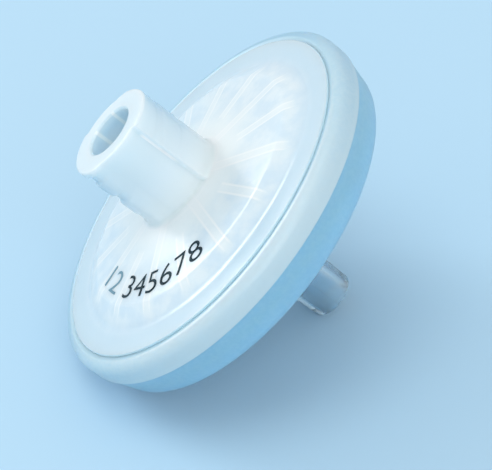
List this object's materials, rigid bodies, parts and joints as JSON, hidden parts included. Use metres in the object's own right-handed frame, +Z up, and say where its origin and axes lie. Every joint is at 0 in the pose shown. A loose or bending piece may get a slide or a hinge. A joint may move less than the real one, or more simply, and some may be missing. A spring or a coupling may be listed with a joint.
{
  "type": "syringe filter",
  "caption": "Disposable disc filter for a syringe: round two-shell housing with a sealing ring, a female luer lock hub, a male luer nozzle and a membrane inside.",
  "frame": {"origin": "on the table, under the middle of the box of the filter as it lies at rest", "axes": "+Z up from the table, +Y along the rim, level, and +X from the nozzle's side towards the hub's side; the filter's own axis lies in the XZ plane, leaning 38.6 degrees from +Z towards +X"},
  "size_m": [0.0268, 0.032, 0.0227],
  "materials": {
    "inlet_shell": "moulded, translucent",
    "membrane": "matt porous film",
    "outlet_shell": "moulded, translucent",
    "sealing_ring": "moulded, translucent",
    "ink": "pad printed"
  },
  "bodies": {
    "root": {"inlet_shell": "inlet_shell", "membrane": "membrane", "outlet_shell": "outlet_shell", "sealing_ring": "sealing_ring"}
  },
  "joints": []
}
